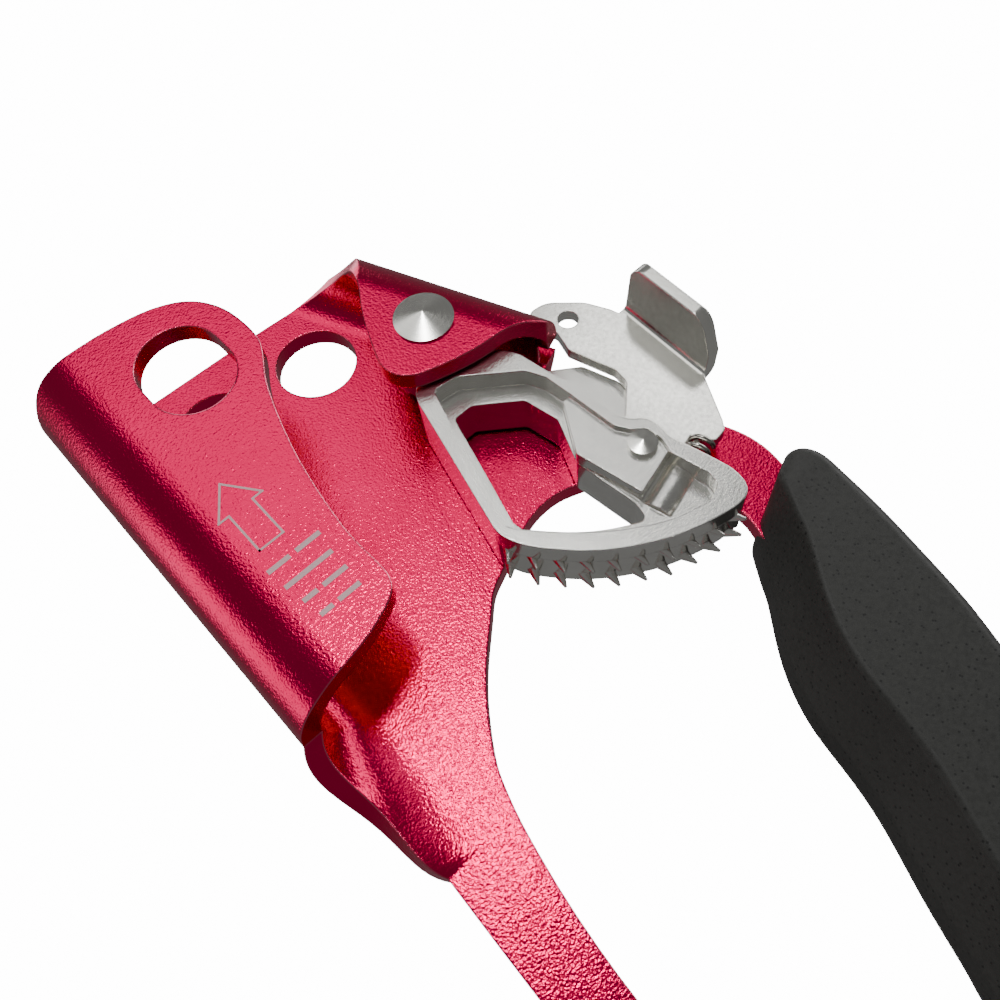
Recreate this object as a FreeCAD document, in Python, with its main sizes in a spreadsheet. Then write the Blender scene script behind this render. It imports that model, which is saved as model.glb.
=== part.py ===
import FreeCAD, Part
import math
import os

# Handled rope ascender, right hand pattern. Millimetres, +Z up along the rope, +X towards the grip,
# and the open side of the rope channel faces +X with its flap at -Y. The origin is the centre of the
# main attachment hole, in the middle of the sheet that the frame is made from.

Vec = FreeCAD.Vector
doc = FreeCAD.newDocument("Ascender")

DIMENSIONS = [
    # sheet metal frame
    ("plate_thickness", 3.2, "thickness of the aluminium sheet"),
    ("channel_inner_radius", 6.9, "inside radius of the rope channel"),
    ("channel_axis_x", -7.0, "X of the channel's bend axis"),
    ("channel_top_z", 174.3, "top of the rope channel"),
    ("channel_foot_z", 104.0, "where the channel starts to fade into the strip"),
    ("strip_top_z", 80.0, "where the faded channel has become the flat strip"),
    ("clevis_inner_radius", 6.1, "inside radius of the fold that carries the cam"),
    ("clevis_axis_x", 38.8, "X of a point on the clevis fold's axis"),
    ("clevis_axis_z", 141.0, "Z of the same point"),
    ("clevis_tilt_deg", 22.0, "lean of the fold's axis from vertical"),
    ("attachment_radius", 9.0, "main attachment hole"),
    ("foot_hole_radius", 6.0, "hole for the foot loop's connector"),
    ("foot_hole_x", 27.0, "X of the foot loop hole"),
    ("foot_hole_z", -4.5, "Z of the foot loop hole"),
    ("top_hole_radius", 6.9, "upper holes in the back plate"),
    ("top_hole_x", 24.0, "X of the open upper hole"),
    ("top_hole_z", 158.0, "Z of the open upper hole"),
    ("channel_hole_x", 4.5, "X of the hole pair across the rope channel"),
    ("channel_hole_z", 157.2, "Z of the oval hole in the sheet behind the rope channel"),
    ("flap_hole_lift", 1.2, "how much higher the flap's oval hole is"),
    ("channel_hole_rise", 3.6, "straight part of the flap's oval hole"),
    # cam and its pivot
    ("pivot_x", 36.6, "X of the cam's pivot"),
    ("pivot_z", 140.9, "Z of the cam's pivot"),
    ("side_gap", 0.6, "washer thickness on each side of the cam"),
    ("cam_rim_depth", 3.6, "depth of the cam's solid front rim"),
    ("bush_radius", 4.4, "outside radius of the cam's bush"),
    ("spring_pocket_radius", 6.6, "room for the cam's spring beside its hub"),
    ("spring_pocket_depth", 3.4, "depth of that room"),
    ("cam_spring_radius", 5.25, "mean radius of the cam's spring"),
    ("cam_spring_wire", 0.4, "wire radius of the cam's spring"),
    ("rivet_radius", 3.0, "shank radius of the cam's rivet"),
    ("rivet_head_radius", 4.75, "radius of the rivet's shallow conical head"),
    ("rivet_head_rise", 1.8, "height of that head"),
    ("running_clearance", 0.05, "radial clearance of a running fit"),
    # safety catch
    ("catch_thickness", 2.2, "thickness of the catch's steel sheet"),
    ("catch_pin_x", 45.9, "X of the catch's pin"),
    ("catch_pin_z", 103.5, "Z of the catch's pin"),
    ("catch_pin_radius", 1.6, "shank radius of the catch's pin"),
    ("catch_head_radius", 2.2, "head radius of the catch's pin"),
    # grip
    ("grip_half_depth", 10.5, "half of the grip's depth along Y"),
]

sheet = doc.addObject("Spreadsheet::Sheet", "Dims")
for row, (alias, value, note) in enumerate(DIMENSIONS, start=1):
    sheet.set(f"A{row}", alias)
    sheet.set(f"B{row}", str(value))
    sheet.set(f"C{row}", note)
    sheet.setAlias(f"B{row}", alias)
doc.recompute()


def value(alias):
    """The number behind one of the sheet's aliases."""
    return float(sheet.getContents(sheet.getCellFromAlias(alias)))


T = value("plate_thickness")
HALF = T / 2
TILT = value("clevis_tilt_deg")
PIVOT = (value("pivot_x"), value("pivot_z"))
CATCH_PIN = (value("catch_pin_x"), value("catch_pin_z"))
FACING_FRONT = FreeCAD.Rotation(Vec(1, 0, 0), 90)


def bind(obj, links):
    """Bind properties of an object to cells of the sheet."""
    for prop, expression in links.items():
        obj.setExpression(prop, expression)
    return obj


def rounded_edges(corners, share=0.5):
    """Lines and tangent arcs through a closed list of corners (x, y[, radius]).

    A corner with no radius gets the largest one that fits, which makes a smooth curve of a run of
    closely spaced corners. share is how much of a side a corner may take up."""
    points = [Vec(c[0], c[1], 0) for c in corners]
    count = len(points)
    starts, ends, arcs = [], [], []
    for i, corner in enumerate(corners):
        before = points[i - 1] - points[i]
        after = points[(i + 1) % count] - points[i]
        room = share * min(before.Length, after.Length)
        turn = math.pi - before.getAngle(after)
        half_tan = math.tan(turn / 2)
        reach = room if len(corner) < 3 else min(room, corner[2] * half_tan)
        if turn < 0.004 or reach < 1e-4:
            starts.append(points[i])
            ends.append(points[i])
            arcs.append(None)
            continue
        first = points[i] + before.normalize() * reach
        last = points[i] + after.normalize() * reach
        middle = (first + last) * 0.5
        sagitta_line = points[i] - middle
        radius = reach / half_tan
        bulge = radius * (1 - math.cos(turn / 2))
        starts.append(first)
        ends.append(last)
        arcs.append(Part.Arc(first, middle + sagitta_line.normalize() * bulge, last))
    edges = []
    for i in range(count):
        if arcs[i]:
            edges.append(arcs[i])
        nxt = starts[(i + 1) % count]
        if (nxt - ends[i]).Length > 1e-6:
            edges.append(Part.LineSegment(ends[i], nxt))
    return edges


def outline(name, corners, base=(0, 0, 0), turn=FACING_FRONT, share=0.5):
    """A closed sketch; by default it lies in a plane facing the front, with corners as (X, Z)."""
    sketch = doc.addObject("Sketcher::SketchObject", name)
    sketch.addGeometry(rounded_edges(corners, share), False)
    sketch.Placement = FreeCAD.Placement(Vec(*base), turn)
    return sketch


def extrude(name, sketch, direction, length):
    """Extrude a sketch along a direction; length is a number or an expression."""
    solid = doc.addObject("Part::Extrusion", name)
    solid.Base = sketch
    solid.DirMode = "Custom"
    solid.Dir = Vec(*direction)
    solid.Solid = True
    if isinstance(length, str):
        bind(solid, {"LengthFwd": length})
    else:
        solid.LengthFwd = length
    return solid


def slab(name, corners, y_back, y_front):
    """The prism of a front view outline between two depths."""
    return extrude(name, outline(name + "Outline", corners, (0, y_back, 0)), (0, -1, 0), y_back - y_front)


def drill(name, x, z, radius, y_back, y_front):
    """A round tool or shaft along Y. Radius, x and z may be expressions."""
    rod = doc.addObject("Part::Cylinder", name)
    rod.Placement = FreeCAD.Placement(Vec(0, y_back, 0), FACING_FRONT)
    rod.Height = y_back - y_front
    for prop, given in (("Radius", radius), ("Placement.Base.x", x), ("Placement.Base.z", z)):
        if isinstance(given, str):
            bind(rod, {prop: given})
        elif prop == "Radius":
            rod.Radius = given
        elif prop.endswith("x"):
            rod.Placement.Base.x = given
        else:
            rod.Placement.Base.z = given
    return rod


def turned(name, centre, profile):
    """A body of revolution about a Y-directed axis; the profile is (radius, Y[, corner radius])."""
    sketch = outline(name + "Profile", profile, (centre[0], 0, centre[1]), FreeCAD.Rotation())
    body = doc.addObject("Part::Revolution", name)
    body.Source = sketch
    body.Axis = Vec(0, 1, 0)
    body.Base = Vec(centre[0], 0, centre[1])
    body.Angle = 360
    body.Solid = True
    return body


def fuse(name, shapes):
    joined = doc.addObject("Part::MultiFuse", name)
    joined.Shapes = shapes
    joined.Refine = True
    return joined


def common(name, shapes):
    shared = doc.addObject("Part::MultiCommon", name)
    shared.Shapes = shapes
    return shared


def cut(name, base, tools):
    """Base minus one or more tools."""
    tool = tools[0] if len(tools) == 1 else fuse(name + "Tools", tools)
    result = doc.addObject("Part::Cut", name)
    result.Base = base
    result.Tool = tool
    result.Refine = True
    return result


def loft(name, sections, ruled=False):
    skin = doc.addObject("Part::Loft", name)
    skin.Sections = sections
    skin.Solid = True
    skin.Ruled = ruled
    return skin


def fold_section(name, axis_offset, inner, side, leg, flap, base, turn):
    """A sheet folded back over itself: a leg in the plate, a half ring and a flap in front of it.

    side is +1 if the fold bulges to local +x and -1 if to -x; the fold's axis is at x = axis_offset."""
    centre_y = -HALF - inner
    outer = inner + T
    near = [Vec(axis_offset, centre_y + r, 0) for r in (outer, inner)]
    far = [Vec(axis_offset, centre_y - r, 0) for r in (outer, inner)]
    crest = [Vec(axis_offset + side * r, centre_y, 0) for r in (outer, inner)]
    leg_end = [p - Vec(side * leg, 0, 0) for p in near]
    flap_end = [p - Vec(side * flap, 0, 0) for p in far]
    sketch = doc.addObject("Sketcher::SketchObject", name)
    sketch.addGeometry([
        Part.LineSegment(leg_end[0], near[0]),
        Part.Arc(near[0], crest[0], far[0]),
        Part.LineSegment(far[0], flap_end[0]),
        Part.LineSegment(flap_end[0], flap_end[1]),
        Part.LineSegment(flap_end[1], far[1]),
        Part.Arc(far[1], crest[1], near[1]),
        Part.LineSegment(near[1], leg_end[1]),
        Part.LineSegment(leg_end[1], leg_end[0]),
    ], False)
    sketch.Placement = FreeCAD.Placement(Vec(*base), turn)
    return sketch


def label(obj, name):
    """Name a finished sub-part; its label is also its file's name."""
    obj.Label = name
    finished.append(obj)
    return obj


finished = []

# ------------------------------------------------------------------ frame, one bent sheet
lean = math.radians(TILT)
fold_down = (math.sin(lean), -math.cos(lean))
fold_out = (math.cos(lean), math.sin(lean))
fold_x, fold_z = value("clevis_axis_x"), value("clevis_axis_z")


def on_fold(along, out):
    """Front view position at a distance along the clevis fold's axis and out from it."""
    return (fold_x + along * fold_down[0] + out * fold_out[0],
            fold_z + along * fold_down[1] + out * fold_out[1])


FOLD_END = 16.2
finger_opening = [
    (-6.3, 20), (-6.3, 54), (-4.6, 67.8), (-2, 79.5), (0.4, 86.3), (3.2, 90.8), (6.6, 95.3), (9.6, 98.5),
    (15.2, 103.6), (17.4, 105.7), (20.1, 106.9), (27.8, 110.1), (31.2, 111), (35.6, 111), (40.7, 109),
    (44.5, 107.3), (47.5, 104.7), (50.5, 98.5), (52.4, 92), (53.1, 88.5), (51.5, 83), (48.5, 76),
    (43.5, 62), (39, 46), (33, 27), (28.5, 17.5), (22.5, 13.2), (14, 14.5), (6, 16.8), (-1.5, 16.4),
]
plate_outline = [
    (-7, 171.5, 0.01), (20, 170.7), (27.0, 170.2, 0.01), on_fold(FOLD_END, 0) + (0.01,),
    on_fold(FOLD_END, -1.5) + (0.3,), on_fold(FOLD_END + 1.3, -1.5) + (0.3,),
    on_fold(FOLD_END + 1.3, 5.5), (52.0, 122.4), (54, 115.3), (57.6, 108.6), (60.6, 104.6),
    (62.6, 101.2), (63.8, 97.4), (64.1, 93.6), (63.2, 88.5), (61.3, 80), (58.2, 66), (53.5, 48), (46.5, 28),
    (40.3, 12), (38.2, 2), (36.5, -7.5), (31.5, -14), (24.5, -15.6), (17, -13.8), (11, -14.2), (5, -15.6),
    (-3, -15.7), (-10.5, -12), (-14.8, -4.5), (-15.1, 4), (-15.1, 54), (-14.6, 67),
    (-13.9, value("strip_top_z"), 0.01), (-7, value("strip_top_z"), 0.01),
]
flat = cut("FlatPlate", slab("Flat", plate_outline, HALF, -HALF),
           [slab("FingerOpening", finger_opening, 5, -5)])

FADE_TOP = value("channel_foot_z")
STRIP_TOP = value("strip_top_z")
channel_in = value("channel_inner_radius")
channel_x = value("channel_axis_x")
channel_fold = extrude("ChannelFold", fold_section("ChannelSection", channel_x, channel_in, -1, 4, 24,
                                                   (0, 0, FADE_TOP), FreeCAD.Rotation()), (0, 0, 1), 80)
channel_flap_outline = [
    (-24, 172.4, 0.01), (-17.1, 172.8), (-14.1, 174.2), (-8.5, 174.1), (-1.1, 174), (7.2, 172.5),
    (12.7, 169.4),
    (15.7, 163.9), (16.1, 157.7), (15.8, 154.6), (14.6, 152.2), (12.1, 148.3), (10, 142.8), (7.4, 134.3),
    (5.7, 124.9), (5.0, 118.4), (5.2, 113.5), (5.2, 110.6), (4.3, 108.6), (2.4, 107.4), (-2.3, 105.6),
    (-8.5, 104.5), (-12.5, FADE_TOP), (-24, FADE_TOP, 0.01),
]
channel_back_outline = [(-24, 172.4, 0.01), (-17.1, 172.8), (-12, 172.0), (-7, 171.5), (-2.9, 171.4, 0.01),
                        (-2.9, FADE_TOP, 0.01), (-24, FADE_TOP, 0.01)]
centre_y = -HALF - channel_in
channel = fuse("Channel", [
    common("ChannelFlap", [channel_fold, slab("ChannelFront", channel_flap_outline, centre_y, -30)]),
    common("ChannelWall", [channel_fold, slab("ChannelBack", channel_back_outline, 10, centre_y)])])


def fading_section(name, z, angle_deg, middle_radius):
    """One horizontal section of the sheet where the channel flattens into the strip."""
    sketch = doc.addObject("Sketcher::SketchObject", name)
    if angle_deg == 0:
        end_x = -13.9
        inner = [Vec(channel_x, -HALF, 0), Vec(end_x, -HALF, 0)]
        outer = [Vec(channel_x, HALF, 0), Vec(end_x, HALF, 0)]
        curves = [Part.LineSegment(*outer), Part.LineSegment(outer[1], inner[1]),
                  Part.LineSegment(inner[1], inner[0])]
    else:
        radii = (middle_radius - HALF, middle_radius + HALF)

        def at(radius, angle):
            a = math.radians(angle)
            return Vec(channel_x - radius * math.sin(a), radius * math.cos(a) - middle_radius, 0)
        inner = [at(radii[0], 0), at(radii[0], angle_deg / 2), at(radii[0], angle_deg)]
        outer = [at(radii[1], 0), at(radii[1], angle_deg / 2), at(radii[1], angle_deg)]
        curves = [Part.Arc(*outer), Part.LineSegment(outer[2], inner[2]), Part.Arc(*reversed(inner))]
    sketch.addGeometry(curves + [Part.LineSegment(inner[0], outer[0])], False)
    sketch.Placement.Base = Vec(0, 0, z)
    return sketch


fade = loft("Fade", [fading_section("Fade0", FADE_TOP, 90, channel_in + HALF),
                     fading_section("Fade1", 101.0, 69, 10.7),
                     fading_section("Fade2", 96.5, 48, 13.0),
                     fading_section("Fade3", 89.5, 27, 19.0),
                     fading_section("Fade4", STRIP_TOP, 0, 0)])

clevis_in = value("clevis_inner_radius")
clevis_fold = extrude("ClevisFold", fold_section(
    "ClevisSection", 0, clevis_in, 1, 4, 26,
    (on_fold(FOLD_END, 0)[0], 0, on_fold(FOLD_END, 0)[1]), FreeCAD.Rotation(Vec(0, 1, 0), -TILT)),
    (-fold_down[0], 0, -fold_down[1]), 60)
clevis_flap_outline = [
    on_fold(-40, 5.2) + (0.01,), on_fold(-22, 5.0), on_fold(-19, 4.3), on_fold(-16.9, 3.05),
    on_fold(-15.1, 1.6), (33.7, 153.5), (31.2, 149.8), (29.1, 145.8), (27.4, 141.7), (26.2, 138.6),
    (26.6, 135.8), (28.6, 133.7), (33.5, 132.0), (38.8, 130.8), (43.5, 130.5), (47, 129.9),
    (53.5, 126.5), (60, 122, 0.01), (66, 176, 0.01),
]
clevis_back_outline = [
    on_fold(-27, 12) + (0.01,), on_fold(-27.5, 8.2), on_fold(-28.2, 6.6), on_fold(-29.2, 4.65),
    on_fold(-30.3, 2.4), (27.0, 170.2), (22, 170.6, 0.01), (22, 120, 0.01), (66, 120, 0.01),
    (66, 161, 0.01),
]
crest_limit = [  # depth and height along the fold's axis of the sheet's edge where it runs over the crest
    (-30, 10, 0.01), (-17.3, 13.2), (-16.7, 15.1), (-15.75, 16.7), (-14.3, 18.2), (-12.35, 19.7),
    (-10.1, 21.4), (-7.7, 23.3), (-5.3, 25.5), (-3.4, 27.7), (-2.4, 29.1), (-1.8, 30.4), (-1.3, 33),
    (-1.0, 45, 0.01), (10, 45, 0.01), (10, -60, 0.01), (-30, -60, 0.01),
]
clevis_y = -HALF - clevis_in
fold_up = Vec(-fold_down[0], 0, -fold_down[1])
towards_crest = Vec(fold_out[0], 0, fold_out[1])
crest_turn = FreeCAD.Rotation(Vec(0, 1, 0), fold_up, towards_crest, "XYZ")
far_inside = on_fold(0, -30)
crest_trim = extrude("CrestTrim", outline(
    "CrestTrimOutline", crest_limit, (far_inside[0], 0, far_inside[1]), crest_turn),
    tuple(towards_crest), 60)
clevis_blank = common("ClevisBlank", [clevis_fold, crest_trim])
clevis = fuse("Clevis", [
    common("ClevisFlap", [clevis_blank, slab("ClevisFront", clevis_flap_outline, clevis_y, -30)]),
    common("ClevisWall", [clevis_blank, slab("ClevisBack", clevis_back_outline, 10, clevis_y)])])

sheet_metal = fuse("SheetMetal", [flat, channel, fade, clevis])

attachment = drill("AttachmentHole", 0, 0, "Dims.attachment_radius", 5, -5)
foot_hole = drill("FootHole", "Dims.foot_hole_x", "Dims.foot_hole_z", "Dims.foot_hole_radius", 5, -5)
top_hole = drill("TopHole", "Dims.top_hole_x", "Dims.top_hole_z", "Dims.top_hole_radius", 5, -5)
hole_x, hole_z, rise = (value(n) for n in ("channel_hole_x", "channel_hole_z", "channel_hole_rise"))
hole_r, lift = value("top_hole_radius"), value("flap_hole_lift")


def oval_hole(name, z_shift, y_back, y_front):
    """A hole that is a little taller than wide."""
    parts = []
    for end, sign in (("Low", "-"), ("High", "+")):
        height = (f"Dims.channel_hole_z + {z_shift} * Dims.flap_hole_lift"
                  f" {sign} Dims.channel_hole_rise / 2")
        parts.append(drill(name + end, "Dims.channel_hole_x", height, "Dims.top_hole_radius",
                           y_back, y_front))
    low, high = hole_z + z_shift * lift - rise / 2, hole_z + z_shift * lift + rise / 2
    sides = [(hole_x - hole_r, low, 0.01), (hole_x + hole_r, low, 0.01), (hole_x + hole_r, high, 0.01),
             (hole_x - hole_r, high, 0.01)]
    return fuse(name, parts + [slab(name + "Sides", sides, y_back, y_front)])


channel_holes = [oval_hole("BackOval", 0, 5, -5), oval_hole("FlapOval", 1, -12, -30)]
rivet_bore = drill("RivetBore", "Dims.pivot_x", "Dims.pivot_z", "Dims.rivet_radius", 5, -30)

# room for the cam's hub and washers in the mouth of the clevis, and for the catch's nose in its wall
seat = drill("PivotSeat", "Dims.pivot_x", "Dims.pivot_z", 6.0, -HALF, -HALF - 2 * clevis_in)
sweep_outer = drill("NoseSweepOuter", "Dims.pivot_x", "Dims.pivot_z", 40.0, -4.6, -7.6)
sweep_outer.Angle = 110
sweep_outer.Placement.Rotation = FACING_FRONT.multiply(FreeCAD.Rotation(Vec(0, 0, 1), -110))
sweep_inner = drill("NoseSweepInner", "Dims.pivot_x", "Dims.pivot_z", 17.2, 0, -12)
nose_slot = cut("NoseSlot", sweep_outer, [sweep_inner])
leg_hole = drill("SpringLegHole", "Dims.pivot_x + Dims.cam_spring_radius", "Dims.pivot_z",
                 "Dims.cam_spring_wire + Dims.running_clearance", 0, -3)

openings = [attachment, foot_hole, top_hole, rivet_bore, seat, nose_slot, leg_hole] + channel_holes
frame = label(cut("Frame", sheet_metal, openings), "frame")

# ------------------------------------------------------------------ cam, a steel casting
CAM_BACK = -HALF - value("side_gap")
CAM_FRONT = -HALF - 2 * clevis_in + value("side_gap")
RECESS = CAM_FRONT + value("cam_rim_depth")
cam_foot = [(20.8, 107.3), (21.6, 104.4), (23.6, 101.3), (27.4, 96.9), (31.4, 93.6), (37.5, 89.9),
            (43.1, 88.0), (47.3, 87.1), (49.8, 87.2)]
cam_outline = [(27.8, 134.3), (24.5, 121.5)] + cam_foot + [
    (51.0, 88.6), (51.5, 91.2), (50.8, 94.8), (49.9, 98.5), (49.1, 101.4), (49.6, 103.6),
    (49.0, 106.0), (47.4, 107.3), (46.6, 108.6), (46.1, 111.9), (45.8, 117.5), (44.5, 123.8),
    (44.1, 128.7), (40.0, 132.5),
    (33.0, 136.0),
]
cam_pocket = [
    (30.3, 131.9, 0.8), (22.3, 107.6, 0.9), (23.0, 106.2, 0.6), (27, 101.4), (32, 96.5), (39.4, 91.7),
    (45.5, 90.1, 2.2), (48.2, 91.2, 1.5), (48.6, 93.4, 1.5), (47.3, 99.2, 0.8), (48.1, 101.9, 1.5),
    (47.9, 104.6, 1.5), (46.2, 106.0, 1.2), (44.9, 108.2, 1.2), (44.3, 116.9, 3), (43.9, 121.8, 2),
    (42.5, 124.8, 1.5), (34.4, 131.4, 1.5),
]
cam_window = [
    (30.4, 127.9, 0.8), (33.9, 127.9, 1.2), (40.3, 122.8, 1.5), (41.4, 116.6, 0.6), (38.1, 109.2, 0.8),
    (39.3, 98.4, 0.8), (38.6, 95.2, 1.0), (32.3, 98.9), (27.8, 103.2), (24.9, 106.6, 0.9),
    (24.6, 108.4, 0.8),
]
cam_plateau = [(43.2, 117.3, 0.4), (38.1, 109.2, 0.6), (40.2, 98.1, 0.4), (47.6, 100.1, 0.4),
               (49.0, 104.5, 0.4), (46.0, 108.0, 0.4), (45.0, 117.0, 0.4)]
catch_slot = [
    (60, 119.5, 0.01), (45.2, 120.5, 1.5), (43.6, 112.5), (41.4, 107.6), (40.8, 103.5), (42.2, 100.0),
    (45.9, 98.4), (49.5, 98.4, 1), (60, 97.0, 0.01),
]


def towards_pivot(point, amount):
    """A front view point moved towards the cam's pivot."""
    across = Vec(PIVOT[0] - point[0], PIVOT[1] - point[1], 0)
    across.normalize()
    return (point[0] + amount * across.x, point[1] + amount * across.y)


toe_line = [towards_pivot(p, 0.8) for p in cam_foot]
TOE_FRONT = -9.6
below_toe = [(54, 86.0, 0.01), (54, 78, 0.01), (15, 78, 0.01)]
toe_step = slab("CamToeStep", [(15, 109.5, 0.01)] + toe_line + below_toe, CAM_BACK + 1, TOE_FRONT)
HUB_BACK = CAM_BACK - value("spring_pocket_depth")
cam_hub = turned("CamHub", PIVOT, [
    (0, HUB_BACK, 0.01), (6.9, HUB_BACK, 0.3), (6.9, CAM_FRONT + 2.4, 1.2), (5.2, CAM_FRONT, 0.4),
    (0, CAM_FRONT, 0.01)])
cam_flange = slab("CamBackFlange", [
    (43, 127.5, 1), (49.5, 126.6, 1.5), (53.5, 123.6, 1.5), (55.4, 117.5, 1.5), (55.0, 110.5, 2),
    (51.5, 103.5, 2), (49.8, 97.0, 1), (44, 100, 1)], CAM_BACK, CAM_BACK - 2.5)

# the half-round spring housing that lies across the cam's recess
BARREL_START = (40.6, 95.5)
BARREL_ANGLE = 15.1
BARREL_Y = -7.7
barrel_turn = FreeCAD.Rotation(Vec(0, 1, 0), 90 - BARREL_ANGLE)


def along_barrel(name, start, length, radius):
    """A rod along the spring housing's axis, from a distance past the housing's start."""
    rod = doc.addObject("Part::Cylinder", name)
    direction = barrel_turn.multVec(Vec(0, 0, 1))
    rod.Placement = FreeCAD.Placement(
        Vec(BARREL_START[0], BARREL_Y, BARREL_START[1]) + direction * start, barrel_turn)
    rod.Radius = radius
    rod.Height = length
    return rod


plate_body = cut("CamPlate", slab("CamBody", cam_outline, CAM_BACK, CAM_FRONT), [
    slab("CamPocket", cam_pocket, RECESS, CAM_FRONT - 1)])
raised = common("CamRaised", [
    fuse("CamRaisedParts", [slab("CamPlateau", cam_plateau, CAM_BACK, CAM_FRONT + 1.1),
                            along_barrel("CamBarrel", 0, 9.2, 2.9)]),
    slab("CamRaisedLimit", cam_outline, CAM_BACK, CAM_FRONT)])
cam_solid = fuse("CamSolid", [plate_body, raised, cam_hub, cam_flange])
cam_cut = cut("CamCut", cam_solid, [
    slab("CamWindow", cam_window, 0, -20),
    toe_step,
    slab("CatchSlot", catch_slot, -4.7, -7.5),
    along_barrel("SpringBore", 3.2, 12, 2.3),
    drill("SpringPocket", "Dims.pivot_x", "Dims.pivot_z", "Dims.spring_pocket_radius", 0, HUB_BACK),
    drill("BushBore", "Dims.pivot_x", "Dims.pivot_z", "Dims.bush_radius", 0, -20),
    drill("CatchPinBore", "Dims.catch_pin_x", "Dims.catch_pin_z", "Dims.catch_pin_radius", 0, -20),
])

# two rows of short spikes over the cam's toe, leaning towards its high end
TOOTH_ROWS = (-8.6, -3.6)
TOOTH_COUNT = 10


def toe_point(fraction):
    """Point and outward direction on the toothed face at a fraction of its length."""
    lengths = [0.0]
    for a, b in zip(toe_line, toe_line[1:]):
        lengths.append(lengths[-1] + math.dist(a, b))
    target = fraction * lengths[-1]
    for i in range(len(toe_line) - 1):
        if lengths[i + 1] >= target:
            break
    (ax, az), (bx, bz) = toe_line[i], toe_line[i + 1]
    share = (target - lengths[i]) / (lengths[i + 1] - lengths[i])
    run = Vec(bx - ax, 0, bz - az)
    run.normalize()
    out = Vec(run.z, 0, -run.x)
    return Vec(ax + share * (bx - ax), 0, az + share * (bz - az)), out, run


teeth = []
for row, tooth_y in enumerate(TOOTH_ROWS):
    for column in range(TOOTH_COUNT):
        place, out, run = toe_point(0.05 + 0.9 * column / (TOOTH_COUNT - 1))
        aim = out + run * 0.55
        tooth = doc.addObject("Part::Cone", f"Tooth{row}{column}")
        tooth.Radius1 = 1.15
        tooth.Radius2 = 0.22
        tooth.Height = 3.3
        aim.normalize()
        tooth.Placement = FreeCAD.Placement(place + Vec(0, tooth_y, 0) - aim * 1.1,
                                            FreeCAD.Rotation(Vec(0, 0, 1), aim))
        teeth.append(tooth)
cam = label(fuse("Cam", [cam_cut] + teeth), "cam")

# ------------------------------------------------------------------ cam pivot
SHANK = value("rivet_radius")
HEAD = value("rivet_head_radius")
FLAP_FACE = -HALF - 2 * clevis_in - T
bush_blank = drill("BushOuter", "Dims.pivot_x", "Dims.pivot_z", "Dims.bush_radius", CAM_BACK, CAM_FRONT)
bush = label(cut("CamBush", bush_blank, [
    drill("BushInner", "Dims.pivot_x", "Dims.pivot_z",
          "Dims.rivet_radius + Dims.running_clearance", 0, -20)]), "cam_bush")
head_rim = 0.4
head_cone = doc.addObject("Part::Cone", "RivetCone")
head_cone.Placement = FreeCAD.Placement(Vec(PIVOT[0], FLAP_FACE - head_rim, PIVOT[1]), FACING_FRONT)
bind(head_cone, {"Radius1": "Dims.rivet_head_radius", "Height": f"Dims.rivet_head_rise - {head_rim}",
                 "Placement.Base.x": "Dims.pivot_x", "Placement.Base.z": "Dims.pivot_z"})
head_cone.Radius2 = 0.15
rivet = label(fuse("CamRivet", [
    head_cone,
    drill("RivetHead", "Dims.pivot_x", "Dims.pivot_z", "Dims.rivet_head_radius",
          FLAP_FACE, FLAP_FACE - head_rim),
    drill("RivetShank", "Dims.pivot_x", "Dims.pivot_z", "Dims.rivet_radius",
          HALF + 1, FLAP_FACE - 0.2),
    drill("RivetTail", "Dims.pivot_x", "Dims.pivot_z", 4.3, HALF + 1.4, HALF + 0.5)]), "cam_rivet")
for name, node, near, far, radius in (
        ("RearDisc", "cam_rivet_washer", HALF + 0.5, HALF, 6.0),
        ("WasherRear", "cam_washer_rear", -HALF, CAM_BACK, 4.7),
        ("WasherFront", "cam_washer_front", CAM_FRONT, -HALF - 2 * clevis_in, 5.2)):
    fit = "Dims.rivet_radius"
    if node != "cam_rivet_washer":
        fit += " + Dims.running_clearance"
    label(cut(name, drill(name + "Outer", "Dims.pivot_x", "Dims.pivot_z", radius, near, far), [
        drill(name + "Inner", "Dims.pivot_x", "Dims.pivot_z", fit, near + 1, far - 1)]), node)

# ------------------------------------------------------------------ safety catch, bent sheet
SPRING_START = 3.4
SPRING_END = 15.1
CATCH_FRONT = -7.2
SHEET = value("catch_thickness")
catch_outline = [
    (53.6, 136.3, 1.3), (57.0, 136.0, 4.5), (61.6, 131.3, 6), (63.5, 127.2, 3), (63.9, 125.7, 0.01),
    (64.5, 107.9, 0.01), (63.7, 106.6, 1.2), (60.0, 100.0, 2), (58.9, 98.6, 0.8), (56.7, 98.3, 0.8),
    (52.8, 101.4, 2), (49.4, 100.6, 1.5), (45.9, 99.6), (43.1, 100.7), (42.0, 103.5), (42.8, 106.4, 3),
    (45.9, 109.4, 3), (50.4, 111.1, 1.0), (55.0, 115.3, 1.3), (55.4, 118.2, 1.5), (53.0, 126.3, 0.5),
    (54.2, 130.2, 1.5), (52.6, 133.5, 1.5),
]
fold_lean = math.degrees(math.atan2(0.6, 17.8))
fold_turn = FreeCAD.Rotation(Vec(0, 1, 0), fold_lean)
TAB_TOP = -16.6
bend = 1.0
tab_lean = 0.9
tab_section = outline("TabSection", [
    (-1.5, CATCH_FRONT + SHEET, 0.01), (-1.5, CATCH_FRONT, 0.01), (0.3, CATCH_FRONT, bend),
    (0.3 + tab_lean, TAB_TOP, 0.3), (0.3 + tab_lean + SHEET, TAB_TOP, 0.3),
    (0.35 + SHEET, CATCH_FRONT + SHEET, bend + SHEET)], (64.5, 0, 107.9), fold_turn)
tab_fold = extrude("TabFold", tab_section, tuple(fold_turn.multVec(Vec(0, 0, 1))), 17.8)
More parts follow.
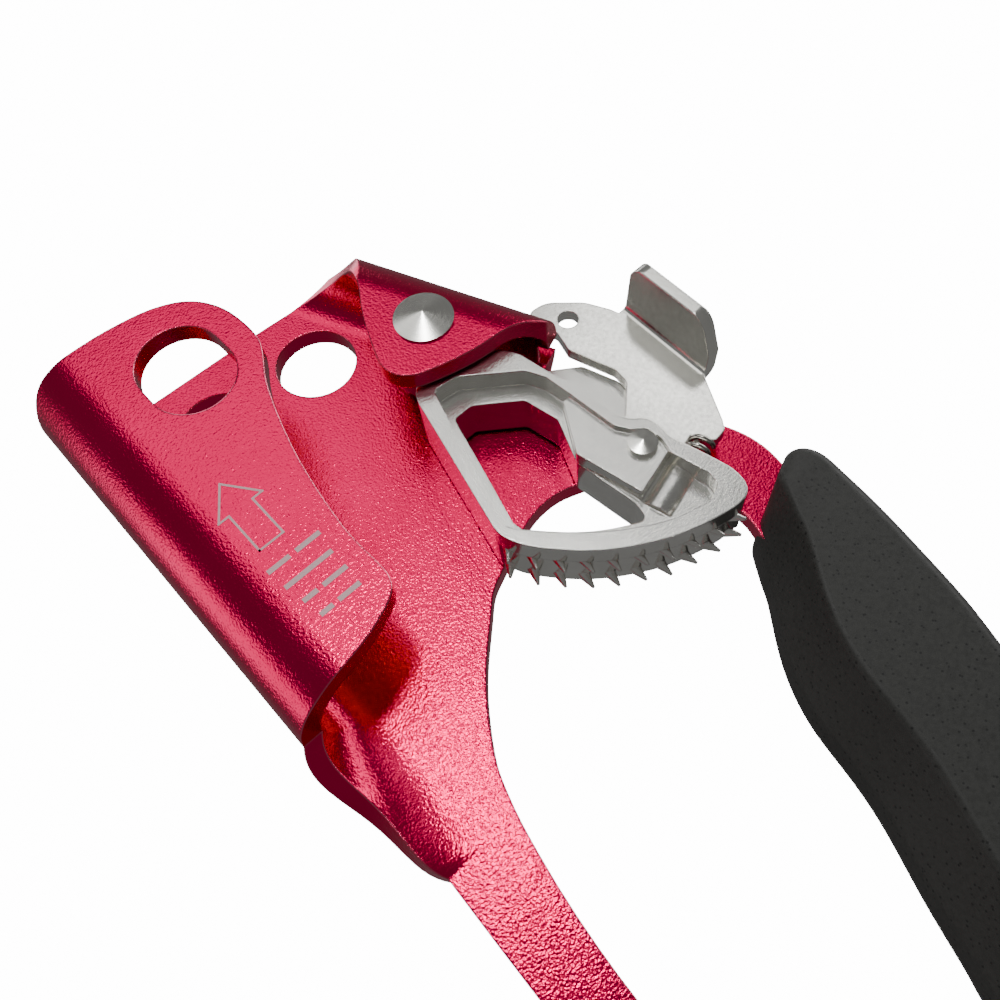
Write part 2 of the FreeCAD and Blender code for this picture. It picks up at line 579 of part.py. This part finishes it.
tab_profile = [(-4, 107.9, 0.01), (-10.5, 107.9, 2), (TAB_TOP, 110.6, 3.4), (TAB_TOP, 125.7, 2.6),
               (-4, 125.7, 0.01)]
tab_limit = extrude("TabLimit", outline(
    "TabProfile", tab_profile, (55, 0, 0),
    FreeCAD.Rotation(Vec(0, 1, 0), Vec(0, 0, 1), Vec(1, 0, 0), "XYZ")),
    (1, 0, 0), 20)
catch_plate = slab("CatchPlate", catch_outline, CATCH_FRONT + SHEET, CATCH_FRONT)
catch_sheet = fuse("CatchSheet", [catch_plate, common("CatchTab", [tab_fold, tab_limit])])
catch = label(cut("Catch", catch_sheet, [
    drill("CatchPinHole", "Dims.catch_pin_x", "Dims.catch_pin_z",
          "Dims.catch_pin_radius + Dims.running_clearance", 0, -12),
    drill("CatchCordHole", 57.2, 130.7, 1.75, 0, -12),
    along_barrel("SpringSeat", 0, SPRING_END, 2.3)]), "catch")
PLATEAU = CAM_FRONT + 1.1
pin_tip = doc.addObject("Part::Cone", "PinTip")
pin_tip.Placement = FreeCAD.Placement(Vec(CATCH_PIN[0], PLATEAU - 1.0, CATCH_PIN[1]), FACING_FRONT)
pin_tip.Height = 0.5
pin_tip.Radius2 = 0.1
bind(pin_tip, {"Radius1": "Dims.catch_head_radius",
               "Placement.Base.x": "Dims.catch_pin_x", "Placement.Base.z": "Dims.catch_pin_z"})
catch_pin = label(fuse("CatchPin", [
    drill("PinShank", "Dims.catch_pin_x", "Dims.catch_pin_z", "Dims.catch_pin_radius",
          CAM_BACK, PLATEAU - 0.2),
    drill("PinHead", "Dims.catch_pin_x", "Dims.catch_pin_z", "Dims.catch_head_radius",
          PLATEAU, PLATEAU - 1.0),
    pin_tip]), "catch_pin")


# ------------------------------------------------------------------ springs, round wire
def coil(name, placement, radius, wire, height, turns):
    """A helical spring; the placement puts local +z along its axis."""
    path = doc.addObject("Part::Helix", name + "Path")
    path.Radius = radius
    path.Height = height
    path.Pitch = height / turns
    path.Placement = placement
    section = doc.addObject("Sketcher::SketchObject", name + "Wire")
    section.addGeometry(Part.Circle(Vec(0, 0, 0), Vec(0, 0, 1), wire), False)
    section.Placement = placement.multiply(FreeCAD.Placement(Vec(radius, 0, 0), FACING_FRONT))
    wire_body = doc.addObject("Part::Sweep", name)
    wire_body.Sections = [section]
    wire_body.Spine = (path, ["Edge1"])
    wire_body.Solid = True
    wire_body.Frenet = True
    return wire_body


CATCH_WIRE = 0.42
barrel_dir = barrel_turn.multVec(Vec(0, 0, 1))
spring_base = Vec(BARREL_START[0], BARREL_Y, BARREL_START[1]) + barrel_dir * (SPRING_START + CATCH_WIRE)
spring_length = SPRING_END - SPRING_START - 2 * CATCH_WIRE - 0.1
label(coil("CatchSpring", FreeCAD.Placement(spring_base, barrel_turn), 1.72, CATCH_WIRE, spring_length, 7),
      "catch_spring")

# the cam's closing spring sits on the bush, with its rear leg in the back plate
WIRE = value("cam_spring_wire")
COIL_BACK = CAM_BACK - WIRE - 0.15
COIL_LENGTH = value("spring_pocket_depth") - 2 * WIRE - 0.3
cam_coil = coil("CamCoil", FreeCAD.Placement(Vec(PIVOT[0], COIL_BACK, PIVOT[1]), FACING_FRONT),
                value("cam_spring_radius"), WIRE, COIL_LENGTH, 2.5)
spring_leg = drill("SpringLeg", "Dims.pivot_x + Dims.cam_spring_radius", "Dims.pivot_z",
                   "Dims.cam_spring_wire", -0.2, COIL_BACK)
label(fuse("CamSpring", [cam_coil, spring_leg]), "cam_spring")

# ------------------------------------------------------------------ grip, rubber moulded over the sheet
stations = [  # finger side x, z, palm side x, z, inset
    (52.5, 85.6, 63.1, 89.8, 1.6), (51.5, 84.9, 64.6, 89.4, 0.5), (50.6, 83.7, 66.0, 87.8, 0.0),
    (48.8, 81.2, 66.6, 83.9, 0.0), (45.8, 76.9, 65.8, 77.2, 0.0), (41.4, 71.3, 64.6, 70.0, 0.0),
    (38.4, 66.2, 63.4, 64.0, 0.0), (36.2, 60.2, 61.9, 57.4, 0.0), (33.8, 49.7, 58.9, 48.0, 0.0),
    (30.4, 40.6, 55.6, 38.2, 0.0), (27.0, 31.6, 52.0, 29.2, 0.0), (24.2, 24.0, 49.8, 21.0, 0.0),
    (22.8, 17.8, 48.6, 14.4, 0.0), (22.7, 15.4, 48.3, 12.0, 0.4), (23.2, 14.6, 47.8, 11.3, 1.6),
]
DEPTH = value("grip_half_depth")
grip_sections = []
for index, (lx, lz, rx, rz, inset) in enumerate(stations):
    width = math.hypot(rx - lx, rz - lz)
    rise_deg = math.degrees(math.atan2(rz - lz, rx - lx))
    deep = DEPTH - inset
    corners = [
        (0.0, 3.2, 2.5), (1.4, 0.78 * deep, 2.2), (6.2, deep, 2.5), (width - 4.6, deep, 3.0),
        (width - 0.7, 0.62 * deep, 3.0), (width, 0.0, 4.0), (width - 0.8, -0.66 * deep, 2.2),
        (width - 3.2, -deep, 1.5), (5.4, -deep, 1.2), (0.5, 0.2, 1.6)]
    grip_sections.append(outline(f"GripSection{index}", corners, (lx, 0, lz),
                                 FreeCAD.Rotation(Vec(0, 1, 0), -rise_deg), 0.45))
grip = label(cut("Grip", loft("GripSkin", grip_sections), [flat]), "grip")

doc.recompute()
os.makedirs("parts", exist_ok=True)
for obj in doc.Objects:
    if "Invalid" in obj.State or "Error" in obj.State:
        raise RuntimeError(f"{obj.Name} did not build: {obj.State}")
for obj in finished:
    if not obj.Shape.isValid() or not obj.Shape.Solids:
        raise RuntimeError(f"{obj.Label} is not a valid solid")
    obj.Shape.exportStep(f"parts/{obj.Label}.step")
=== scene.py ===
import math

import bpy
from mathutils import Matrix, Vector


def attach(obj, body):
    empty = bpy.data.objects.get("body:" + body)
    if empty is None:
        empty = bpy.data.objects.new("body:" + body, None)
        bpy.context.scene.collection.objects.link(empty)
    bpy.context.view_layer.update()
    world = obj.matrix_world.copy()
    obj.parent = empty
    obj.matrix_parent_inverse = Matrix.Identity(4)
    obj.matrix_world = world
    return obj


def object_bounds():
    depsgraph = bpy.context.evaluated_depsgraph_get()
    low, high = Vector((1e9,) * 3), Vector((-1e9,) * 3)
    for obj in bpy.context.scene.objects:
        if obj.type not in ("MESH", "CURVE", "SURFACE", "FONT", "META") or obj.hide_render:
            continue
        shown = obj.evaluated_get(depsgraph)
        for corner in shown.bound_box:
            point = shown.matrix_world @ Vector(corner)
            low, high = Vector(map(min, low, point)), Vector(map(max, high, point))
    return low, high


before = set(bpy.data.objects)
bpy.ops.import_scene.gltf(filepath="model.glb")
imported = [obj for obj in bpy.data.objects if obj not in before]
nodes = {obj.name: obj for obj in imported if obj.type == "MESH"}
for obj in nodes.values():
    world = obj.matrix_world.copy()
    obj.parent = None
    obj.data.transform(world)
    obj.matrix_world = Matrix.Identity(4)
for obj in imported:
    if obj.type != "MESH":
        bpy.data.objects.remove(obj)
cad_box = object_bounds()
MM = 0.001
BLACK = (0.0, 0.0, 0.0, 1.0)
WHITE = (1.0, 1.0, 1.0, 1.0)


# ------------------------------------------------------------------ shader helpers
class Shader:
    """A new material with its Principled shader and a few node shorthands."""

    def __init__(self, name, **sockets):
        self.material = bpy.data.materials.new(name)
        self.material.use_nodes = True
        self.tree = self.material.node_tree
        self.principled = self.tree.nodes["Principled BSDF"]
        for key, given in sockets.items():
            self.principled.inputs[key.replace("_", " ")].default_value = given

    def plug(self, socket, given):
        """Link an output to a socket, or set its value."""
        if isinstance(given, bpy.types.NodeSocket):
            self.tree.links.new(given, socket)
        else:
            socket.default_value = given

    def node(self, kind, settings=None, **inputs):
        """A node; its inputs are given by name, or as i0, i1 and so on by number."""
        made = self.tree.nodes.new(kind)
        for key, given in (settings or {}).items():
            setattr(made, key, given)
        for key, given in inputs.items():
            numbered = key[0] == "i" and key[1:].isdigit()
            self.plug(made.inputs[int(key[1:])] if numbered else made.inputs[key], given)
        return made

    def link(self, output, socket):
        self.tree.links.new(output, self.principled.inputs[socket])

    def position(self):
        """The frame's own metres, because every node's object sits at the origin."""
        return self.node("ShaderNodeTexCoord").outputs["Object"]

    def noise(self, scale, detail, roughness, vector=None):
        made = self.node("ShaderNodeTexNoise", Vector=vector or self.position(), Scale=scale,
                         Detail=detail, Roughness=roughness)
        return made.outputs["Fac"]

    def cells(self, scale):
        """Distance to the nearest point of a scatter, in cell sizes."""
        made = self.node("ShaderNodeTexVoronoi", Vector=self.position(), Scale=scale)
        return made.outputs["Distance"]

    def ramp(self, fac, stops):
        made = self.node("ShaderNodeValToRGB", Fac=fac)
        elements = made.color_ramp.elements
        while len(elements) < len(stops):
            elements.new(0.5)
        for element, (place, colour) in zip(elements, stops):
            element.position = place
            element.color = tuple(colour) + (1.0,)
        return made.outputs["Color"]

    def span(self, fac, low, high, start=0.0, end=1.0):
        """Map fac from start..end to low..high, clamped."""
        made = self.node("ShaderNodeMapRange", Value=fac)
        limits = {"From Min": start, "From Max": end, "To Min": low, "To Max": high}
        for key, given in limits.items():
            made.inputs[key].default_value = given
        return made.outputs["Result"]

    def math(self, operation, a, b=0.0):
        return self.node("ShaderNodeMath", {"operation": operation}, i0=a, i1=b).outputs[0]

    def vector(self, operation, **inputs):
        return self.node("ShaderNodeVectorMath", {"operation": operation}, **inputs)

    def face_normal(self):
        return self.node("ShaderNodeNewGeometry").outputs["Normal"]

    def bump(self, height, strength, distance, under=None):
        made = self.node("ShaderNodeBump", Height=height, Strength=strength, Distance=distance)
        if under is not None:
            self.tree.links.new(under, made.inputs["Normal"])
        return made.outputs["Normal"]

    def rounded(self, radius, samples=6):
        """Shading normals that run smoothly over the part's edges."""
        return self.node("ShaderNodeBevel", {"samples": samples}, Radius=radius).outputs["Normal"]


# ------------------------------------------------------------------ materials
EDGE_RADIUS = 0.5 * MM
# pale pink painted onto the sheet's edges as a highlight
EDGE_HIGHLIGHT_TINT = (0.95, 0.32, 0.42, 1)
# dot product of the rounded and the flat normal: where the painted edge highlight starts, and where
# it is full
HIGHLIGHT_START, HIGHLIGHT_FULL = 0.985, 0.85


def anodised():
    """Dyed anodised sheet with a fine pebbled texture and a painted highlight that makes its edges
    paler.
    """
    s = Shader("anodised_red", Metallic=1.0)
    grain = s.noise(2600.0, 1.0, 0.5)
    fine = s.noise(5200.0, 1.0, 0.5)
    cloud = s.noise(60.0, 2.0, 0.5)
    dye = s.ramp(cloud, [(0.3, (0.76, 0.002, 0.085)), (0.7, (0.86, 0.004, 0.105))])
    soft = s.rounded(EDGE_RADIUS, 8)
    turned = s.vector("DOT_PRODUCT", i0=soft, i1=s.face_normal()).outputs["Value"]
    # painted highlight: the base colour blends towards pale pink along every edge, standing in for
    # light caught by the rounded edges
    edge_highlight = s.span(turned, 0.0, 0.55, HIGHLIGHT_START, HIGHLIGHT_FULL)
    highlighted_dye = s.node("ShaderNodeMix", {"data_type": "RGBA"}, Factor=edge_highlight, A=dye, B=EDGE_HIGHLIGHT_TINT)
    s.link(highlighted_dye.outputs["Result"], "Base Color")
    s.link(s.span(fine, 0.15, 0.25, 0.3, 0.7), "Roughness")
    pebbles = s.bump(grain, 0.62, 0.11 * MM, soft)
    s.link(s.bump(fine, 0.35, 0.02 * MM, pebbles), "Normal")
    return s.material


def cast_steel():
    """Blasted casting whose side walls are smoother than its front faces."""
    s = Shader("cast_steel", Metallic=1.0)
    normal_y = s.node("ShaderNodeSeparateXYZ", i0=s.face_normal()).outputs["Y"]
    facing = s.math("POWER", s.math("ABSOLUTE", normal_y), 3.0)
    grain = s.noise(2600.0, 4.0, 0.65)
    cloud = s.noise(140.0, 3.0, 0.6)
    s.link(s.ramp(cloud, [(0.3, (0.80, 0.79, 0.74)), (0.7, (0.92, 0.91, 0.86))]), "Base Color")
    s.link(s.math("ADD", s.span(facing, 0.10, 0.20), s.span(grain, -0.03, 0.05)), "Roughness")
    height = s.math("MULTIPLY", grain, s.span(facing, 0.15, 1.0))
    s.link(s.bump(height, 0.7, 0.07 * MM, s.rounded(0.35 * MM)), "Normal")
    return s.material


def satin_steel(name, tint, roughness, edge=0.3):
    """Evenly finished steel; edge is the shaded rounding of its edges, in mm."""
    s = Shader(name, Metallic=1.0)
    grain = s.noise(1500.0, 3.0, 0.6)
    cloud = s.noise(90.0, 2.0, 0.5)
    dark = tuple(0.9 * c for c in tint)
    s.link(s.ramp(cloud, [(0.3, dark), (0.7, tint)]), "Base Color")
    s.link(s.span(grain, roughness - 0.04, roughness + 0.05, 0.3, 0.7), "Roughness")
    s.link(s.bump(grain, 0.15, 0.03 * MM, s.rounded(edge * MM)), "Normal")
    return s.material


def spun_steel(name, centre):
    """Turned end face: fine rings about a Y-directed axis through centre (x, z)."""
    s = Shader(name, Metallic=1.0, Roughness=0.2, Anisotropic=0.75)
    offset = s.vector("SUBTRACT", i0=s.position(), i1=(centre[0], 0, centre[1])).outputs[0]
    flat = s.vector("MULTIPLY", i0=offset, i1=(1, 0, 1)).outputs[0]
    radius = s.vector("LENGTH", i0=flat).outputs["Value"]
    rings_per_metre = 5200.0
    along = s.node("ShaderNodeCombineXYZ", X=s.math("MULTIPLY", radius, rings_per_metre)).outputs[0]
    rings = s.noise(1.0, 4.0, 0.7, along)
    s.link(s.ramp(rings, [(0.3, (0.78, 0.77, 0.71)), (0.7, (0.92, 0.91, 0.85))]), "Base Color")
    s.link(s.bump(rings, 0.25, 0.03 * MM), "Normal")
    around = s.vector("CROSS_PRODUCT", i0=flat, i1=(0, 1, 0)).outputs[0]
    s.link(s.vector("NORMALIZE", i0=around).outputs[0], "Tangent")
    return s.material


def rubber():
    """Moulded rubber with fine dark pores."""
    s = Shader("grip_rubber", Metallic=0.0, IOR=1.5)
    grain = s.noise(1400.0, 4.0, 0.7)
    pores = s.span(s.cells(1100.0), 0.0, 1.0, 0.10, 0.26)
    tone = s.ramp(grain, [(0.35, (0.032, 0.032, 0.029)), (0.62, (0.05, 0.05, 0.046))])
    pore_tint = (0.008, 0.008, 0.008, 1)
    specked = s.node("ShaderNodeMix", {"data_type": "RGBA"}, Factor=pores, A=pore_tint, B=tone)
    s.link(specked.outputs["Result"], "Base Color")
    s.link(s.span(grain, 0.50, 0.64, 0.3, 0.7), "Roughness")
    height = s.math("ADD", grain, s.math("MULTIPLY", pores, 0.5))
    s.link(s.bump(height, 0.45, 0.06 * MM), "Normal")
    return s.material


def plastic():
    """Dull black plastic of the washers beside the cam."""
    s = Shader("washer_plastic")
    grain = s.noise(2500.0, 2.0, 0.5)
    s.link(s.ramp(grain, [(0.3, (0.03, 0.03, 0.03)), (0.7, (0.05, 0.05, 0.05))]), "Base Color")
    s.link(s.span(grain, 0.4, 0.5), "Roughness")
    return s.material


def etched():
    """Laser marked aluminium: the dye is gone and the metal is matt."""
    s = Shader("etched_mark", Metallic=0.35)
    grain = s.noise(3000.0, 2.0, 0.5)
    s.link(s.ramp(grain, [(0.3, (0.80, 0.50, 0.52)), (0.7, (0.90, 0.66, 0.68))]), "Base Color")
    s.link(s.span(grain, 0.5, 0.65), "Roughness")
    return s.material


# centres of the spun faces, as (x, z) in metres
PIVOT = (0.0366, 0.1409)
CATCH_PIN = (0.0459, 0.1035)
SPRING_TINT = (0.5, 0.48, 0.44)
finishes = {
    "frame": anodised(),
    "grip": rubber(),
    "cam": cast_steel(),
    "cam_bush": satin_steel("bush_steel", (0.6, 0.59, 0.56), 0.3),
    "cam_rivet": spun_steel("cam_rivet_steel", PIVOT),
    "cam_rivet_washer": satin_steel("rivet_washer_steel", (0.62, 0.61, 0.58), 0.28),
    "cam_washer_front": plastic(),
    "cam_washer_rear": plastic(),
    "cam_spring": satin_steel("cam_spring_steel", SPRING_TINT, 0.22, edge=0.0),
    "catch": satin_steel("catch_steel", (0.95, 0.94, 0.88), 0.18),
    "catch_pin": spun_steel("catch_pin_steel", CATCH_PIN),
    "catch_spring": satin_steel("spring_steel", SPRING_TINT, 0.22, edge=0.0),
}
for name, obj in nodes.items():
    obj.data.materials.clear()
    obj.data.materials.append(finishes[name])


# ------------------------------------------------------------------ marking on the front flap
FLAP_FACE = -0.0186
PROUD = 0.02 * MM
ARROW_LINE, BAR_HEIGHT = 0.35, 0.8  # mm


def strip_between(points, width):
    """A flat line of even width through front view points, in mm.

    Every second length lies a little higher, so that the overlapping corners don't flicker.
    """
    verts, faces = [], []
    for (ax, az), (bx, bz) in zip(points, points[1:]):
        length = math.hypot(bx - ax, bz - az)
        nx, nz = -(bz - az) / length * width / 2, (bx - ax) / length * width / 2
        ex, ez = (bx - ax) / length * width / 2, (bz - az) / length * width / 2
        first = len(verts)
        lift = PROUD / MM * (1 + 0.3 * (first // 4 % 2))
        verts += [(ax - ex + nx, lift, az - ez + nz), (bx + ex + nx, lift, bz + ez + nz),
                  (bx + ex - nx, lift, bz + ez - nz), (ax - ex - nx, lift, az - ez - nz)]
        faces.append((first, first + 1, first + 2, first + 3))
    return verts, faces


def marking(name, lines):
    """Etched lines on the flap's face; lines is a list of (points, width)."""
    verts, faces = [], []
    for points, width in lines:
        more, quads = strip_between(points, width)
        faces += [tuple(len(verts) + i for i in quad) for quad in quads]
        verts += more
    mesh = bpy.data.meshes.new(name)
    mesh.from_pydata([(x * MM, FLAP_FACE - y * MM, z * MM) for x, y, z in verts], [], faces)
    mesh.materials.append(etched())
    obj = bpy.data.objects.new(name, mesh)
    bpy.context.scene.collection.objects.link(obj)
    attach(obj, "frame_body")


# points are (x, z) in mm; a bar is its height z and its two ends in x
arrow = [(-5.2, 125.5), (-5.2, 132.8), (-6.9, 132.8), (-3.2, 138.0), (0.5, 132.8), (-1.2, 132.8),
         (-1.2, 125.5), (-5.2, 125.5)]
bars = [(122.0, -6.0, -3.1), (122.0, -1.3, 2.0), (118.6, -5.6, 1.5), (115.4, -5.0, -3.4),
        (115.4, -1.7, 1.5), (112.3, -4.5, -3.2), (112.3, -1.5, 1.3)]
marking("flap_marking", [(arrow, ARROW_LINE)]
        + [([(a, z), (b, z)], BAR_HEIGHT) for z, a, b in bars])

# ------------------------------------------------------------------ floor, light and camera
TARGET = Vector((0.03, -0.005, 0.115))  # what the lights aim at
PAPER_GLOW = 15.0
FLOOR_REACH = 3.0
DOME_RADIUS = 3.5
FLOOR_Z = cad_box[0][2] - 0.002


def staged(name, mesh):
    """A pale surface of the studio, seen by the camera but not lighting the part."""
    obj = bpy.data.objects.new(name, mesh)
    bpy.context.scene.collection.objects.link(obj)
    paper = Shader(name + "_paper", Base_Color=BLACK, Roughness=1.0, Emission_Color=WHITE,
                   Emission_Strength=PAPER_GLOW)
    mesh.materials.append(paper.material)
    for rays in ("diffuse", "glossy", "transmission", "volume_scatter", "shadow"):
        setattr(obj, "visible_" + rays, False)


def ball(radius, rings=24, sides=48):
    """A closed ball round the whole studio."""
    verts, faces = [], []
    for i in range(rings + 1):
        polar = math.pi * i / rings
        for j in range(sides):
            turn = 2 * math.pi * j / sides
            verts.append((radius * math.sin(polar) * math.cos(turn),
                          radius * math.sin(polar) * math.sin(turn),
                          radius * math.cos(polar)))
    for i in range(rings):
        for j in range(sides):
            k = (j + 1) % sides
            here, below = i * sides, (i + 1) * sides
            faces.append((here + j, here + k, below + k, below + j))
    mesh = bpy.data.meshes.new("backdrop")
    mesh.from_pydata(verts, [], faces)
    return mesh


corners = [(-1, -1), (1, -1), (1, 1), (-1, 1)]
floor_mesh = bpy.data.meshes.new("floor")
floor_mesh.from_pydata([(FLOOR_REACH * x, FLOOR_REACH * y, FLOOR_Z) for x, y in corners],
                       [], [(0, 1, 2, 3)])
staged("floor", floor_mesh)
staged("backdrop", ball(DOME_RADIUS))

world = bpy.data.worlds.new("studio")
world.use_nodes = True
background = world.node_tree.nodes["Background"]
background.inputs["Color"].default_value = WHITE
background.inputs["Strength"].default_value = 0.15
bpy.context.scene.world = world


def softbox(name, towards, distance, size, radiance):
    """A rectangular light in a direction from the part, with the brightness of its face."""
    place = TARGET + Vector(towards).normalized() * distance
    light = bpy.data.lights.new(name, "AREA")
    light.shape = "RECTANGLE"
    light.size, light.size_y = size
    light.energy = radiance * math.pi * size[0] * size[1]
    obj = bpy.data.objects.new(name, light)
    obj.location = place
    obj.rotation_euler = (TARGET - place).to_track_quat("-Z", "Y").to_euler()
    bpy.context.scene.collection.objects.link(obj)


softbox("key", (0.04, -0.83, 0.56), 0.7, (0.34, 0.42), 1.3)
softbox("side_key", (0.4, -0.85, 0.4), 0.7, (0.16, 0.45), 0.4)
softbox("spark", (0.03, -0.985, 0.17), 0.7, (0.08, 0.08), 48.0)
softbox("left", (-0.93, 0.04, 0.45), 0.6, (0.3, 0.3), 1.5)
softbox("top", (0.2, 0.1, 1.0), 0.6, (0.4, 0.4), 1.8)
softbox("rim", (0.95, -0.25, 0.15), 0.6, (0.2, 0.5), 4.5)
softbox("fill", (0.5, -0.8, 0.36), 0.7, (0.10, 0.2), 2.2)

# where the camera stands, and which way its right side and its view point
CAMERA_PLACE = (-0.01442, -0.1363, 0.05407)
CAMERA_RIGHT = (0.736, 0.0769, -0.6729)
CAMERA_FORWARD = (0.277, 0.8724, 0.4028)
camera_data = bpy.data.cameras.new("camera")
camera_data.sensor_width = 36.0
camera_data.lens = 36.0
camera_data.clip_start = 0.005
camera_data.clip_end = 50.0
camera = bpy.data.objects.new("camera", camera_data)
right = Vector(CAMERA_RIGHT).normalized()
forward = Vector(CAMERA_FORWARD).normalized()
up = right.cross(forward).normalized()
right = forward.cross(up).normalized()
turn = Matrix((right, up, -forward)).transposed().to_4x4()
camera.matrix_world = Matrix.Translation(CAMERA_PLACE) @ turn
bpy.context.scene.collection.objects.link(camera)
bpy.context.scene.camera = camera
